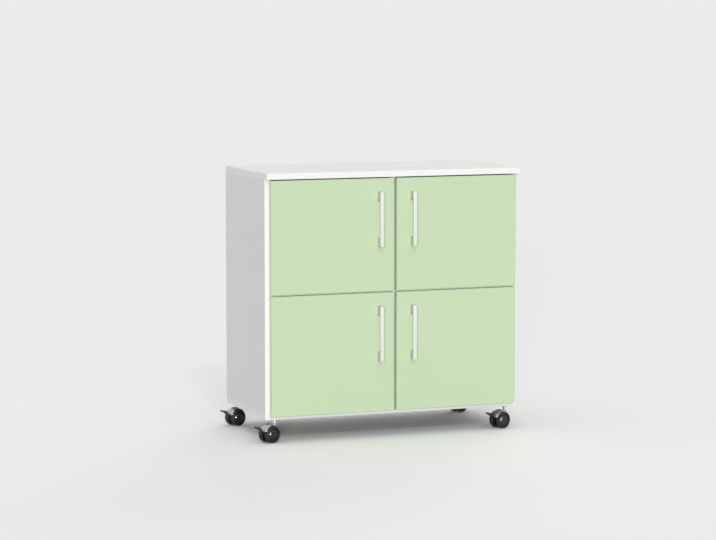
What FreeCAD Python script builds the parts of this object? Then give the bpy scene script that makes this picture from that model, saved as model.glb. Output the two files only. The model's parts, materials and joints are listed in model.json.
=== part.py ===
"""Bedside cabinet on castors: melamine-faced carcass, four hinged doors, four twin-wheel castors.

Millimetres, +Z up.  X runs along the width, the doors face -Y.  The origin lies on the floor under
the middle of the carcass.  Every piece is one solid, or one group of identical fasteners, and is
written to parts/NAME.step.
"""
import FreeCAD, Part
import math
import os

V = FreeCAD.Vector

# ---------------------------------------------------------------- carcass sizes
cabinet_width = 800.0
carcass_depth = 370.0           # side panel, front edge to back edge
side_height = 688.0             # between the bottom panel and the top panel
board = 18.0                    # melamine-faced particle board
top_overhang = 21.0             # how far the top stands out past the side panels' front edges
edging_radius = 1.5             # rounding of the ABS edging on the long edges

back_thickness = 3.0            # hardboard back
back_recess = 10.0              # from the carcass's back edge to the back panel
back_groove_depth = 8.0
back_groove_play = 0.2
back_edge_play = 0.5            # between the back panel's edge and the floor of its groove
divider_play = 0.2              # between the divider or a shelf and the back panel

# ---------------------------------------------------------------- door sizes
door_thickness = 18.0
door_gap = 3.0                  # between the carcass's front edges and the doors' backs
door_reveal = 13.0              # side panel edge left showing beside a door
door_top_gap = 3.0
door_middle_gap = 4.0           # between an upper and a lower door
door_centre_gap = 8.0           # between the left and the right doors
bottom_edge_reveal = 11.0       # bottom panel edge left showing under the doors
upper_door_height = 334.0

# ---------------------------------------------------------------- handle sizes
handle_length = 164.0
handle_width = 10.0
handle_projection = 30.0
handle_bar = 8.0                # thickness of the grip bar, front to back
handle_foot_base = 29.0         # length of a foot where it meets the door
handle_foot_neck = 16.0         # length of a foot where it runs into the bar
handle_from_free_edge = 48.0
handle_from_top = 39.0
handle_corner_radius = 5.0
handle_crotch_radius = 9.0
handle_edge_bevel = 1.0


# ---------------------------------------------------------------- hinge sizes
hinge_from_door_end = 100.0
cup_radius = 17.5
cup_depth = 12.5
cup_wall = 0.8
cup_edge_distance = 3.0         # board left between the cup bore and the door's edge
cup_pocket_height = 10.0        # slot in the cup that the arm folds into
cup_pocket_inward = 13.0        # from the cup's centre towards the middle of the door
cup_flange = 1.2
cup_flange_height = 54.0
cup_flange_waist = 30.0         # height of the flange where its corners are cut off
cup_flange_corner = 4.0
cup_flange_inward = 15.0        # from the cup's centre towards the middle of the door
cup_flange_outward = 4.0
pivot_from_edge = 7.2           # pin axis to the door's outer edge
pivot_from_back = 8.5           # pin axis to the door's back face
hinge_pin_radius = 1.25
running_clearance = 0.05        # radial, for every pin or shaft that turns
knuckle_radius = 2.3
knuckle_height = 8.0
knuckle_clearance = 0.3         # knuckle to the end of the cup's pocket
arm_thickness = 2.0
arm_face_from_side = 11.6       # side panel's inner face to the arm's near face
arm_neck_drop = 0.5             # how far the gooseneck's centre line passes in front of the pin
arm_outer_bend = 3.2
arm_channel_width = 14.0
arm_channel_wall = 1.2
arm_channel_depth = 7.0
arm_start_behind_edge = 3.0     # channel's front end, behind the side panel's front edge
arm_length = 58.0
arm_block_play = 0.3
plate_from_front = 37.0         # middle of the plate to the side panel's front edge
plate_thickness = 1.8
plate_depth = 30.0
plate_height = 50.0
plate_corner_y = 7.5            # corners cut off the plate's wings
plate_corner_z = 12.5
plate_block_length = 44.0

# ---------------------------------------------------------------- bumper sizes
bumper_radius = 3.0
bumper_thickness = 2.7
bumper_from_centre = 30.0

# ---------------------------------------------------------------- castor sizes
castor_height = 65.0            # floor to the underside of the bottom panel
castor_inset_x = 32.0           # swivel axis to the carcass's outer side
castor_inset_front = 11.0       # swivel axis to the carcass's front edge
castor_inset_back = 35.0        # swivel axis to the carcass's back edge
castor_heading = 204.0          # direction the wheels trail in, degrees from +X
castor_trail = 21.0             # swivel axis to wheel axis
wheel_radius = 25.0
wheel_width = 16.0
wheel_gap = 0.6                 # housing's side to the wheel
wheel_shoulder = 3.2            # bevel between the tread and the outer face
axle_radius = 3.5
axle_in_hub = 12.4
axle_end_play = 0.3
housing_width = 12.0
dome_radius = 31.0              # ball-shaped hood, about the middle of the axle
dome_half_width = 14.0
dome_bands = 3                  # straight bands that stand for the ball's curve on each side
dome_skirt = 10.0               # hood's lower edge above the axle, on the trailing side
dome_brow = 16.0                # hood's lower edge above the axle, on the stem's side
dome_over_wheel = 0.8           # tread to the inside of the hood
web_radius = 17.0
boss_radius = 6.0
boss_top = 52.0
boss_bottom = 29.0
stem_radius = 4.4
stem_play = 0.3
stem_end = 33.0                 # height of the stem's lower end
collar_radius = 7.0
collar_height = 2.5
flange_radius = 10.0
flange_thickness = 2.0

lever_pivot_u = 19.0            # from the wheel axis, along the trailing direction
lever_pivot_z = 9.0             # above the wheel axis
lever_tongue = 4.4
lever_slot = 5.0
lever_eye_radius = 4.8
lever_seat_wrap = 3.0           # how far the round seat reaches past the pivot on its open side
lever_lug_radius = 7.6          # housing round the lever's seat
lever_slot_rise = 4.0           # slot's roof above the lever's pivot
lever_thickness = 4.0
lever_bend = 26.0               # radius of each half of the S-shaped pedal
lever_bend_turn = 45.0          # how far each half turns, degrees
lever_pedal_width = 20.0
lever_tip_width = 17.0
lever_flare_start = 12.0        # pivot to where the tongue starts to widen
lever_flare_end = 17.5          # pivot to where the pedal is widest
lever_tip_corner = 4.0

past = 1.0                      # how far a cutting tool runs past the face that it opens

# ---------------------------------------------------------------- positions worked out from the sizes
half_width = cabinet_width / 2
front_y = -carcass_depth / 2
back_y = carcass_depth / 2
bottom_z = castor_height
side_bottom_z = bottom_z + board
side_top_z = side_bottom_z + side_height
top_z = side_top_z + board
inner_x = half_width - board

back_panel_rear_y = back_y - back_recess
back_panel_front_y = back_panel_rear_y - back_thickness
inner_back_y = back_panel_front_y - divider_play

door_back_y = front_y - door_gap
door_front_y = door_back_y - door_thickness
door_outer_x = half_width - door_reveal
door_inner_x = door_centre_gap / 2
upper_door_top = side_top_z - door_top_gap
upper_door_bottom = upper_door_top - upper_door_height
lower_door_top = upper_door_bottom - door_middle_gap
lower_door_bottom = bottom_z + bottom_edge_reveal
shelf_z = (upper_door_bottom + lower_door_top) / 2

pivot_x = door_outer_x - pivot_from_edge
pivot_y = door_back_y - pivot_from_back
cup_x = door_outer_x - cup_edge_distance - cup_radius

wheel_side = housing_width / 2 + wheel_gap
stem_x = half_width - castor_inset_x
stem_front_y = front_y + castor_inset_front
stem_back_y = back_y - castor_inset_back


# ---------------------------------------------------------------- helpers
def box(x0, x1, y0, y1, z0, z1):
    """A block between two opposite corners, given in either order."""
    low = V(min(x0, x1), min(y0, y1), min(z0, z1))
    return Part.makeBox(abs(x1 - x0), abs(y1 - y0), abs(z1 - z0), low)


def rod(radius, start, end):
    """A round bar between two points."""
    start = V(*start)
    run = V(*end) - start
    return Part.makeCylinder(radius, run.Length, start, run)


def fuse(pieces):
    """One clean solid from several overlapping ones."""
    whole = pieces[0]
    for piece in pieces[1:]:
        whole = whole.fuse(piece)
    return whole.removeSplitter()


def cut_all(shape, tools):
    """The shape less every tool."""
    for tool in tools:
        shape = shape.cut(tool)
    return shape


def outline(points):
    """A closed wire through points; a point with a third number is rounded to that radius."""
    corners = [V(p[0], p[1], 0) for p in points]
    radii = [p[2] if len(p) > 2 else 0.0 for p in points]
    count = len(points)
    spans = []
    arcs = []
    for i in range(count):
        before = (corners[i - 1] - corners[i]).normalize()
        after = (corners[(i + 1) % count] - corners[i]).normalize()
        radius = radii[i]
        if radius <= 0:
            spans.append((corners[i], corners[i]))
            arcs.append(None)
            continue
        half = before.getAngle(after) / 2
        reach = radius / math.tan(half)
        start = corners[i] + before * reach
        end = corners[i] + after * reach
        middle_way = (before + after).normalize()
        centre = corners[i] + middle_way * (radius / math.sin(half))
        top = centre - middle_way * radius
        spans.append((start, end))
        arcs.append(Part.Arc(start, top, end).toShape())
    edges = []
    for i in range(count):
        if arcs[i] is not None:
            edges.append(arcs[i])
        leave = spans[i][1]
        arrive = spans[(i + 1) % count][0]
        if leave.distanceToPoint(arrive) > 1e-6:
            edges.append(Part.makeLine(leave, arrive))
    return Part.Wire(Part.__sortEdges__(edges))


def extrude_z(points, z0, z1):
    """An X-Y outline carried from z0 to z1."""
    face = Part.Face(outline(points))
    face.translate(V(0, 0, z0))
    return face.extrude(V(0, 0, z1 - z0))


def extrude_y(points, y0, y1):
    """An outline given as X-Z pairs, carried from y0 to y1."""
    face = Part.Face(outline(points))
    face.rotate(V(0, 0, 0), V(1, 0, 0), 90)
    face.translate(V(0, y0, 0))
    return face.extrude(V(0, y1 - y0, 0))


def extrude_x(points, x0, x1):
    """An outline given as Y-Z pairs, carried from x0 to x1."""
    face = Part.Face(outline(points))
    face.rotate(V(0, 0, 0), V(1, 1, 1), 120)
    face.translate(V(x0, 0, 0))
    return face.extrude(V(x1 - x0, 0, 0))


def turned(points):
    """A radius-height outline turned about Z; its arcs are rounded corners."""
    face = Part.Face(outline(points))
    face.rotate(V(0, 0, 0), V(1, 0, 0), 90)
    return face.revolve(V(0, 0, 0), V(0, 0, 1), 360)


def round_edges(shape, radius, wanted):
    """Round the edges that the wanted test accepts."""
    edges = [edge for edge in shape.Edges if wanted(edge)]
    return shape.makeFillet(radius, edges)


def runs_along(edge, axis, length):
    """Whether an edge is straight along an axis and at least a given length."""
    if edge.Length < length or not isinstance(edge.Curve, Part.Line):
        return False
    return abs(abs(edge.tangentAt(edge.FirstParameter).dot(axis)) - 1) < 1e-6


def mirrored(shape):
    """The same piece on the other side of the cabinet."""
    return shape.mirror(V(0, 0, 0), V(1, 0, 0))


def write(name, shapes):
    """One STEP file for one node."""
    if not isinstance(shapes, list):
        shapes = [shapes]
    solids = []
    for shape in shapes:
        solids.extend(shape.Solids)
    whole = solids[0] if len(solids) == 1 else Part.makeCompound(solids)
    assert whole.isValid(), name
    whole.exportStep(os.path.join("parts", name + ".step"))


# ---------------------------------------------------------------- carcass
def back_groove():
    """The groove that runs round the top, bottom and side panels for the back."""
    reach = back_groove_depth
    return box(-inner_x - reach, inner_x + reach,
               back_panel_front_y - back_groove_play, back_panel_rear_y,
               side_bottom_z - reach, side_top_z + reach)


def panel(x0, x1, y0, y1, z0, z1, long_axis):
    """A board with its front long edges rounded by the edging."""
    board_solid = box(x0, x1, y0, y1, z0, z1)

    def on_front(edge):
        return runs_along(edge, long_axis, 2 * board) and edge.CenterOfMass.y < y0 + 1e-3

    return round_edges(board_solid, edging_radius, on_front)


def carcass_panels():
    """Top, bottom, sides, divider and the two fixed shelves, with the groove for the back."""
    groove = back_groove()
    along_x = V(1, 0, 0)
    along_z = V(0, 0, 1)
    panels = {
        "top_panel": panel(-half_width, half_width, front_y - top_overhang, back_y,
                           side_top_z, top_z, along_x),
        "bottom_panel": panel(-half_width, half_width, front_y, back_y,
                              bottom_z, side_bottom_z, along_x),
        "left_side_panel": panel(-half_width, -inner_x, front_y, back_y,
                                 side_bottom_z, side_top_z, along_z),
        "right_side_panel": panel(inner_x, half_width, front_y, back_y,
                                  side_bottom_z, side_top_z, along_z),
        "centre_divider": panel(-board / 2, board / 2, front_y, inner_back_y,
                                side_bottom_z, side_top_z, along_z),
        "left_shelf": panel(-inner_x, -board / 2, front_y, inner_back_y,
                            shelf_z - board / 2, shelf_z + board / 2, along_x),
        "right_shelf": panel(board / 2, inner_x, front_y, inner_back_y,
                             shelf_z - board / 2, shelf_z + board / 2, along_x),
    }
    for name in ("top_panel", "bottom_panel", "left_side_panel", "right_side_panel"):
        panels[name] = panels[name].cut(groove)
    return panels


def back_panel():
    """The thin back, standing on the floor of the bottom panel's groove."""
    reach = back_groove_depth - back_edge_play
    return box(-inner_x - reach, inner_x + reach, back_panel_front_y, back_panel_rear_y,
               side_bottom_z - back_groove_depth, side_top_z + reach)


def door_bumpers():
    """Soft studs on the shelves' front edges that the closed doors come to rest by."""
    studs = []
    above = (upper_door_bottom + shelf_z + board / 2) / 2
    below = (lower_door_top + shelf_z - board / 2) / 2
    for x in (-bumper_from_centre, bumper_from_centre):
        for z in (above, below):
            studs.append(rod(bumper_radius, (x, front_y, z), (x, front_y - bumper_thickness, z)))
    return studs


# ---------------------------------------------------------------- hinges
def door_spans():
    """Bottom and top of the upper and the lower doors."""
    return {"upper": (upper_door_bottom, upper_door_top),
            "lower": (lower_door_bottom, lower_door_top)}


def hinge_heights(which=None):
    """Heights of the hinges of one row of doors, or of both rows."""
    rows = [which] if which else ["upper", "lower"]
    heights = []
    for row in rows:
        low, high = door_spans()[row]
        heights.extend([low + hinge_from_door_end, high - hinge_from_door_end])
    return heights


def hinge_cup(z):
    """A right-hand door's cup with its flange, the arm's pocket and the hinge pin across it."""
    rear = door_back_y
    cup = rod(cup_radius, (cup_x, rear - cup_depth, z), (cup_x, rear, z))
    inside_x = cup_x - cup_flange_inward
    outside_x = cup_x + cup_flange_outward
    half = cup_flange_height / 2
    waist = cup_flange_waist / 2
    corner = cup_flange_corner
    flange = extrude_y([(inside_x, z - waist), (inside_x + corner, z - half),
                        (outside_x - corner, z - half), (outside_x, z - waist),
                        (outside_x, z + waist), (outside_x - corner, z + half),
                        (inside_x + corner, z + half), (inside_x, z + waist)], rear, rear + cup_flange)
    slot = cup_pocket_height / 2
    pocket = box(cup_x - cup_pocket_inward, pivot_x + knuckle_radius + knuckle_clearance,
                 rear - cup_depth + cup_wall, rear + cup_flange + past, z - slot, z + slot)
    reach = slot + cup_wall
    pin = rod(hinge_pin_radius, (pivot_x, pivot_y, z - reach), (pivot_x, pivot_y, z + reach))
    return fuse([fuse([cup, flange]).cut(pocket), pin])


def hinge_arm(z):
    """A right-hand arm: knuckle round the pin, gooseneck out of the cup, channel over the block."""
    near_x = inner_x - arm_face_from_side
    far_x = near_x - arm_thickness
    neck_y = pivot_y - arm_neck_drop
    neck_front = neck_y - arm_thickness / 2
    neck_rear = neck_y + arm_thickness / 2
    channel_front = front_y + arm_start_behind_edge
    channel_rear = channel_front + arm_length
    inner_bend = arm_outer_bend - arm_thickness
    neck = extrude_z([(pivot_x, neck_front), (far_x, neck_front, arm_outer_bend), (far_x, channel_rear),
                      (near_x, channel_rear), (near_x, neck_rear, inner_bend), (pivot_x, neck_rear)],
                     z - knuckle_height / 2, z + knuckle_height / 2)
    knuckle = rod(knuckle_radius, (pivot_x, pivot_y, z - knuckle_height / 2),
                  (pivot_x, pivot_y, z + knuckle_height / 2))
    hole = rod(hinge_pin_radius + running_clearance, (pivot_x, pivot_y, z - knuckle_height),
               (pivot_x, pivot_y, z + knuckle_height))
    half = arm_channel_width / 2
    shoulder = knuckle_height / 2
    taper = half - shoulder
    web = extrude_x([(channel_front - taper, z - shoulder), (channel_front, z - half),
                     (channel_rear - taper, z - half), (channel_rear, z - shoulder),
                     (channel_rear, z + shoulder), (channel_rear - taper, z + half),
                     (channel_front, z + half), (channel_front - taper, z + shoulder)],
                    near_x, far_x)
    wall_x = far_x + arm_channel_depth + arm_thickness
    walls = []
    for side in (-1, 1):
        wall = extrude_z([(far_x, channel_front), (wall_x, channel_front + arm_channel_depth),
                          (wall_x, channel_rear - 2 * taper), (far_x, channel_rear - taper)],
                         0, arm_channel_wall)
        wall.translate(V(0, 0, z + side * half - (arm_channel_wall if side > 0 else 0)))
        walls.append(wall)
    return fuse([neck, knuckle, web] + walls).cut(hole)


def hinge_plate(z):
    """A right-hand mounting plate: two wings on the side panel and the block under the arm."""
    middle_y = front_y + plate_from_front
    face = inner_x
    tall = plate_height / 2
    straight = tall - plate_corner_z
    wide = plate_depth / 2
    narrow = wide - plate_corner_y
    wing = extrude_x([(middle_y - wide, z - straight), (middle_y - narrow, z - tall),
                      (middle_y + narrow, z - tall), (middle_y + wide, z - straight),
                      (middle_y + wide, z + straight), (middle_y + narrow, z + tall),
                      (middle_y - narrow, z + tall), (middle_y - wide, z + straight)],
                     face - plate_thickness, face)
    block_half = arm_channel_width / 2 - arm_channel_wall - arm_block_play
    block = box(face - arm_face_from_side, face, middle_y - plate_block_length / 2,
                middle_y + plate_block_length / 2, z - block_half, z + block_half)
    return fuse([wing, block])


# ---------------------------------------------------------------- doors and handles
def handle_x():
    """Distance of a handle from the cabinet's middle."""
    return door_inner_x + handle_from_free_edge


def handle_middle(row):
    """Height of a handle's middle."""
    return door_spans()[row][1] - handle_from_top - handle_length / 2


def door(row):
    """A right-hand door with its edging and the bores for its hinge cups."""
    low, high = door_spans()[row]
    leaf = box(door_inner_x, door_outer_x, door_front_y, door_back_y, low, high)
    leaf = round_edges(leaf, edging_radius, lambda edge: edge.Length > 2 * board
                       and edge.CenterOfMass.y < door_front_y + 1e-3)
    bores = [rod(cup_radius, (cup_x, door_back_y - cup_depth, z), (cup_x, door_back_y, z))
             for z in hinge_heights(row)]
    return cut_all(leaf, bores)


def handle(row):
    """A right-hand bow handle: two flared feet and a flat grip bar in one casting."""
    middle = handle_middle(row)
    half = handle_length / 2
    face = door_front_y
    front = face - handle_projection
    grip_rear = front + handle_bar
    bow = extrude_x([(face, middle - half), (front, middle - half, handle_corner_radius),
                     (front, middle + half, handle_corner_radius), (face, middle + half),
                     (face, middle + half - handle_foot_base),
                     (grip_rear, middle + half - handle_foot_neck, handle_crotch_radius),
                     (grip_rear, middle - half + handle_foot_neck, handle_crotch_radius),
                     (face, middle - half + handle_foot_base)],
                    handle_x() - handle_width / 2, handle_x() + handle_width / 2)
    sides = [edge for edge in bow.Edges if edge.CenterOfMass.y < face - 1e-3
             and abs(abs(edge.CenterOfMass.x - handle_x()) - handle_width / 2) < 1e-3]
    return bow.makeChamfer(handle_edge_bevel, sides)


# ---------------------------------------------------------------- castors
def castor_places():
    """Swivel axis of each castor."""
    return {"front_left": (-stem_x, stem_front_y), "front_right": (stem_x, stem_front_y),
            "back_left": (-stem_x, stem_back_y), "back_right": (stem_x, stem_back_y)}


def mount_plate_piece():
    """Round flange, collar and the stem that the housing turns on."""
    flange_z = castor_height - flange_thickness
    collar_z = flange_z - collar_height
    return turned([(0, stem_end), (stem_radius, stem_end), (stem_radius, collar_z),
                   (collar_radius, collar_z), (collar_radius, flange_z), (flange_radius, flange_z),
                   (flange_radius, castor_height), (0, castor_height)])


def about_axle(shape, side=1):
    """A shape turned about Z, laid along the axle so that its height runs to one side."""
    shape.rotate(V(0, 0, 0), V(1, 0, 0), -90 * side)
    shape.translate(V(castor_trail, 0, wheel_radius))
    return shape


def castor_hood():
    """Ball-shaped hood over both treads, hollowed for the wheels on either side of its web."""
    tail = castor_trail + dome_radius + past
    crown = wheel_radius + dome_radius + past
    skirt = wheel_radius + dome_skirt
    brow = wheel_radius + dome_brow
    wide = dome_half_width
    across = [wide * band / dome_bands for band in range(-dome_bands, dome_bands + 1) if band]
    ball = [(math.sqrt(dome_radius ** 2 - v ** 2), v) for v in across]
    dome = about_axle(turned([(0, -wide)] + ball + [(0, wide)]))
    cover = extrude_y([(-boss_radius, brow), (castor_trail, brow), (castor_trail, skirt), (tail, skirt),
                       (tail, crown), (-boss_radius, crown)], -wide, wide)
    hollow = wheel_radius + dome_over_wheel
    wells = [rod(hollow, (castor_trail, side * housing_width / 2, wheel_radius),
                 (castor_trail, side * (wide + past), wheel_radius)) for side in (-1, 1)]
    return cut_all(dome.common(cover), wells)


def castor_housing():
    """Hood, the web between the wheels, the stem's boss and the axle pressed through the web."""
    half = housing_width / 2
    tail = castor_trail + dome_radius + past
    web = rod(web_radius, (castor_trail, -half, wheel_radius), (castor_trail, half, wheel_radius))
    column = extrude_z([(-boss_radius, -half, half), (boss_radius, -half), (boss_radius, half),
                        (-boss_radius, half, half)], boss_bottom, boss_top)
    u = castor_trail + lever_pivot_u
    z = wheel_radius + lever_pivot_z
    lug = rod(lever_lug_radius, (u, -half, z), (u, half, z))
    body = fuse([castor_hood(), web, column, lug])

    bore = rod(stem_radius + running_clearance, (0, 0, stem_end - stem_play), (0, 0, boss_top + past))
    side = lever_slot / 2
    seat = rod(lever_eye_radius + running_clearance, (u, -side, z), (u, side, z))
    slot = box(u + lever_seat_wrap, tail, -side, side, 0, z + lever_slot_rise)
    reach = wheel_side + axle_in_hub
    axle = rod(axle_radius, (castor_trail, -reach, wheel_radius), (castor_trail, reach, wheel_radius))
    return fuse([cut_all(body, [bore, seat, slot]), axle])


def castor_wheel(side):
    """A wheel with a bevelled outer face and a blind bore, turned about its axle."""
    far = wheel_width
    bore = axle_radius + running_clearance
    depth = axle_in_hub + axle_end_play
    wheel = turned([(0, far), (wheel_radius - wheel_shoulder, far), (wheel_radius, far - wheel_shoulder),
                    (wheel_radius, 0), (bore, 0), (bore, depth), (0, depth)])
    wheel = about_axle(wheel, side)
    wheel.translate(V(0, side * wheel_side, 0))
    return wheel


def arc_between(centre, radius, start, end):
    """Circular arc in the X-Z plane, from one angle to another in degrees."""
    angles = [math.radians(angle) for angle in (start, (start + end) / 2, end)]
    points = [centre + V(radius * math.cos(angle), 0, radius * math.sin(angle)) for angle in angles]
    return Part.Arc(*points).toShape()


def brake_lever():
    """A pedal that rises in an S from a round eye, on a tongue that fits the housing's slot."""
    u = castor_trail + lever_pivot_u
    z = wheel_radius + lever_pivot_z
    turn = math.radians(lever_bend_turn)
    half = lever_thickness / 2
    reach = 2 * lever_bend * math.sin(turn)
    rise = 2 * lever_bend * (1 - math.cos(turn))
    low_centre = V(u, 0, z + lever_bend)
    high_centre = V(u + reach, 0, z + rise - lever_bend)
    turn_low = lever_bend_turn - 90
    turn_high = lever_bend_turn + 90
    under = [arc_between(low_centre, lever_bend + half, -90, turn_low),
             arc_between(high_centre, lever_bend - half, turn_high, 90)]
    over = [arc_between(high_centre, lever_bend + half, 90, turn_high),
            arc_between(low_centre, lever_bend - half, turn_low, -90)]
    tip = Part.makeLine(V(u + reach, 0, z + rise - half), V(u + reach, 0, z + rise + half))
    root = Part.makeLine(V(u, 0, z + half), V(u, 0, z - half))
    face = Part.Face(Part.Wire(under + [tip] + over + [root]))
    wide = lever_pedal_width / 2
    face.translate(V(0, -wide, 0))
    profile = face.extrude(V(0, 2 * wide, 0))
    neck = lever_tongue / 2
    tip_side = lever_tip_width / 2
    plan = extrude_z([(u, -neck), (u + lever_flare_start, -neck), (u + lever_flare_end, -wide),
                      (u + reach, -tip_side, lever_tip_corner), (u + reach, tip_side, lever_tip_corner),
                      (u + lever_flare_end, wide), (u + lever_flare_start, neck), (u, neck)],
                     z - lever_thickness, z + rise + lever_thickness)
    eye = rod(lever_eye_radius, (u, -neck, z), (u, neck, z))
    return fuse([profile.common(plan), eye])


def on_castor(shape, name, heading=castor_heading):
    """A piece built about the swivel axis, turned to its heading and moved to its corner."""
    copy = shape.copy()
    x, y = castor_places()[name]
    copy.rotate(V(0, 0, 0), V(0, 0, 1), heading)
    copy.translate(V(x, y, 0))
    return copy


# ---------------------------------------------------------------- build
def main():
    """Build every piece and write it."""
    os.makedirs("parts", exist_ok=True)
    for name, shape in carcass_panels().items():
        write(name, shape)
    write("back_panel", back_panel())
    write("door_bumpers", door_bumpers())

    arms = [hinge_arm(z) for z in hinge_heights()]
    plates = [hinge_plate(z) for z in hinge_heights()]
    write("hinge_arms", arms + [mirrored(arm) for arm in arms])
    write("hinge_plates", plates + [mirrored(plate) for plate in plates])

    for row in ("upper", "lower"):
        heights = hinge_heights(row)
        pieces = {
            "door": [door(row)],
            "handle": [handle(row)],
            "hinge_cups": [hinge_cup(z) for z in heights],
        }
        for piece, shapes in pieces.items():
            write(row + "_right_" + piece, shapes)
            write(row + "_left_" + piece, [mirrored(shape) for shape in shapes])

    castor = {
        "housing": castor_housing(),
        "near_wheel": castor_wheel(1),
        "far_wheel": castor_wheel(-1),
        "brake_lever": brake_lever(),
    }
    for name in castor_places():
        write(name + "_castor_plate", on_castor(mount_plate_piece(), name, 0.0))
        for piece, shape in castor.items():
            write(name + "_castor_" + piece, on_castor(shape, name))


main()
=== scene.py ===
"""Looks of a bedside cabinet on castors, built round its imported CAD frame.

The cabinet is a white melamine-faced carcass with four pale green doors, satin bow handles,
concealed cup hinges and four braked twin-wheel castors.  Lengths are metres, +Z is up, X runs
along the width and the doors face -Y.
"""
import json
import logging
import math
from dataclasses import dataclass
from enum import Enum

import bpy
import numpy as np
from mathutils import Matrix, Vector


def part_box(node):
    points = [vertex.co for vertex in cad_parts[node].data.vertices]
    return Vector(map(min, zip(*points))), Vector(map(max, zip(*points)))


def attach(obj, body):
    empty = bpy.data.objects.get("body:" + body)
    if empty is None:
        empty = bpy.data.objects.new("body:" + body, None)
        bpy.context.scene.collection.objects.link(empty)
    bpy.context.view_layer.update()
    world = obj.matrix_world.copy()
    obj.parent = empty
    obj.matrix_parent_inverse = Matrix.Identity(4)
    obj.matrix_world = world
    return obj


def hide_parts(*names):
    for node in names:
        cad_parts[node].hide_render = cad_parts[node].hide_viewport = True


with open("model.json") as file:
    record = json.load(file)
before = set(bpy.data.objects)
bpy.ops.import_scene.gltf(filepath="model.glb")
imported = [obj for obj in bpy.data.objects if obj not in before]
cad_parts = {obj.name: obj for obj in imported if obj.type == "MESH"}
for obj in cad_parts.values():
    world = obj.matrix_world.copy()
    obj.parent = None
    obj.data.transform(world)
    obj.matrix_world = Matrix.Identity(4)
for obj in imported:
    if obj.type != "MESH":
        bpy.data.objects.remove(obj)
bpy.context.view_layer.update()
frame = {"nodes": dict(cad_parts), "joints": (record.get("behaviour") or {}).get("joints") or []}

MM = 0.001
NOISE_RANGE = (0.3, 0.7)  # what the noise texture keeps to

Array = np.ndarray
Surface = tuple[np.ndarray, np.ndarray]
Pair = tuple[float, float]
Triple = tuple[float, float, float]
Tree = bpy.types.NodeTree
Socket = bpy.types.NodeSocket
Feed = Socket | float | tuple
Material = bpy.types.Material
Piece = bpy.types.Object
LOG = logging.getLogger("cabinet")


class Row(Enum):
    """The two rows of doors."""

    UPPER = "upper"
    LOWER = "lower"


class Side(Enum):
    """The two sides of the cabinet, with the sign of X there."""

    LEFT = -1
    RIGHT = 1

    @property
    def word(self) -> str:
        """The side's name as the CAD nodes spell it."""
        return self.name.lower()


class Corner(Enum):
    """The four corners that stand on castors."""

    FRONT_LEFT = "front_left"
    FRONT_RIGHT = "front_right"
    BACK_LEFT = "back_left"
    BACK_RIGHT = "back_right"


# ---- colour and shader nodes
def linear(code: str) -> tuple[float, float, float, float]:
    """Turn an sRGB hex colour to linear light, by the sRGB curve.

    Args:
        code: Six hex digits, such as "CCE0BB".

    Returns:
        Linear red, green and blue with an alpha of one.
    """
    parts = np.array([int(code[i:i + 2], 16) for i in (0, 2, 4)]) / 255.0
    light = np.where(parts <= 0.04045, parts / 12.92, ((parts + 0.055) / 1.055) ** 2.4)
    return (*map(float, light), 1.0)


def cycles_per_metre(feature: float) -> float:
    """Noise scale at which one blob of the pattern is as wide as a feature given in metres."""
    return 0.5 / feature


class Graph:
    """A node tree while it is built; most methods add nodes and give back an output.

    Attributes:
        tree: The tree.
    """

    def __init__(self, tree: Tree) -> None:
        """Keep the tree."""
        self.tree = tree

    def feed(self, node: bpy.types.Node, inputs: dict) -> None:
        """Link sources to a node's inputs, or set the inputs' own values.

        Args:
            node: The node.
            inputs: Source sockets or plain values by input name or number.
        """
        for key, value in inputs.items():
            if isinstance(value, Socket):
                self.tree.links.new(value, node.inputs[key])
            else:
                node.inputs[key].default_value = value

    def add(self, kind: str, output: str | int, inputs: dict, **settings: str) -> Socket:
        """Add one shader node.

        Args:
            kind: The node's type, such as "TexNoise" for a ShaderNodeTexNoise.
            output: Name or number of the output that is wanted.
            inputs: What its inputs are fed.
            **settings: The node's own settings.

        Returns:
            That output.
        """
        node = self.tree.nodes.new(f"ShaderNode{kind}")
        for name, value in settings.items():
            setattr(node, name, value)
        self.feed(node, inputs)
        return node.outputs[output]

    def reckon(self, operation: str, *values: Feed) -> Socket:
        """The result of a Math node's operation on sources or numbers."""
        return self.add("Math", 0, dict(enumerate(values)), operation=operation)

    def stretch(self, value: Socket, low: float, high: float,
                limits: Pair = (0.0, 1.0)) -> Socket:
        """From low to high, as the value goes from one limit to the other."""
        return self.add("MapRange", "Result",
                        {"Value": value, "From Min": limits[0], "From Max": limits[1],
                         "To Min": low, "To Max": high})

    def blend(self, share: Socket, *colours: str | Socket) -> Socket:
        """From the first to the second of two colours, each a source or a hex code."""
        first, second = (linear(colour) if isinstance(colour, str) else colour
                         for colour in colours)
        return self.add("Mix", 2, {0: share, 6: first, 7: second}, data_type="RGBA")

    def shown(self) -> Socket:
        """One where a camera, glossy or transmission ray looks, nought for the light itself."""
        camera, glossy, through = (self.add("LightPath", f"Is {ray} Ray", {})
                                   for ray in ("Camera", "Glossy", "Transmission"))
        return self.reckon("MAXIMUM", self.reckon("MAXIMUM", camera, glossy), through)


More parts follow.
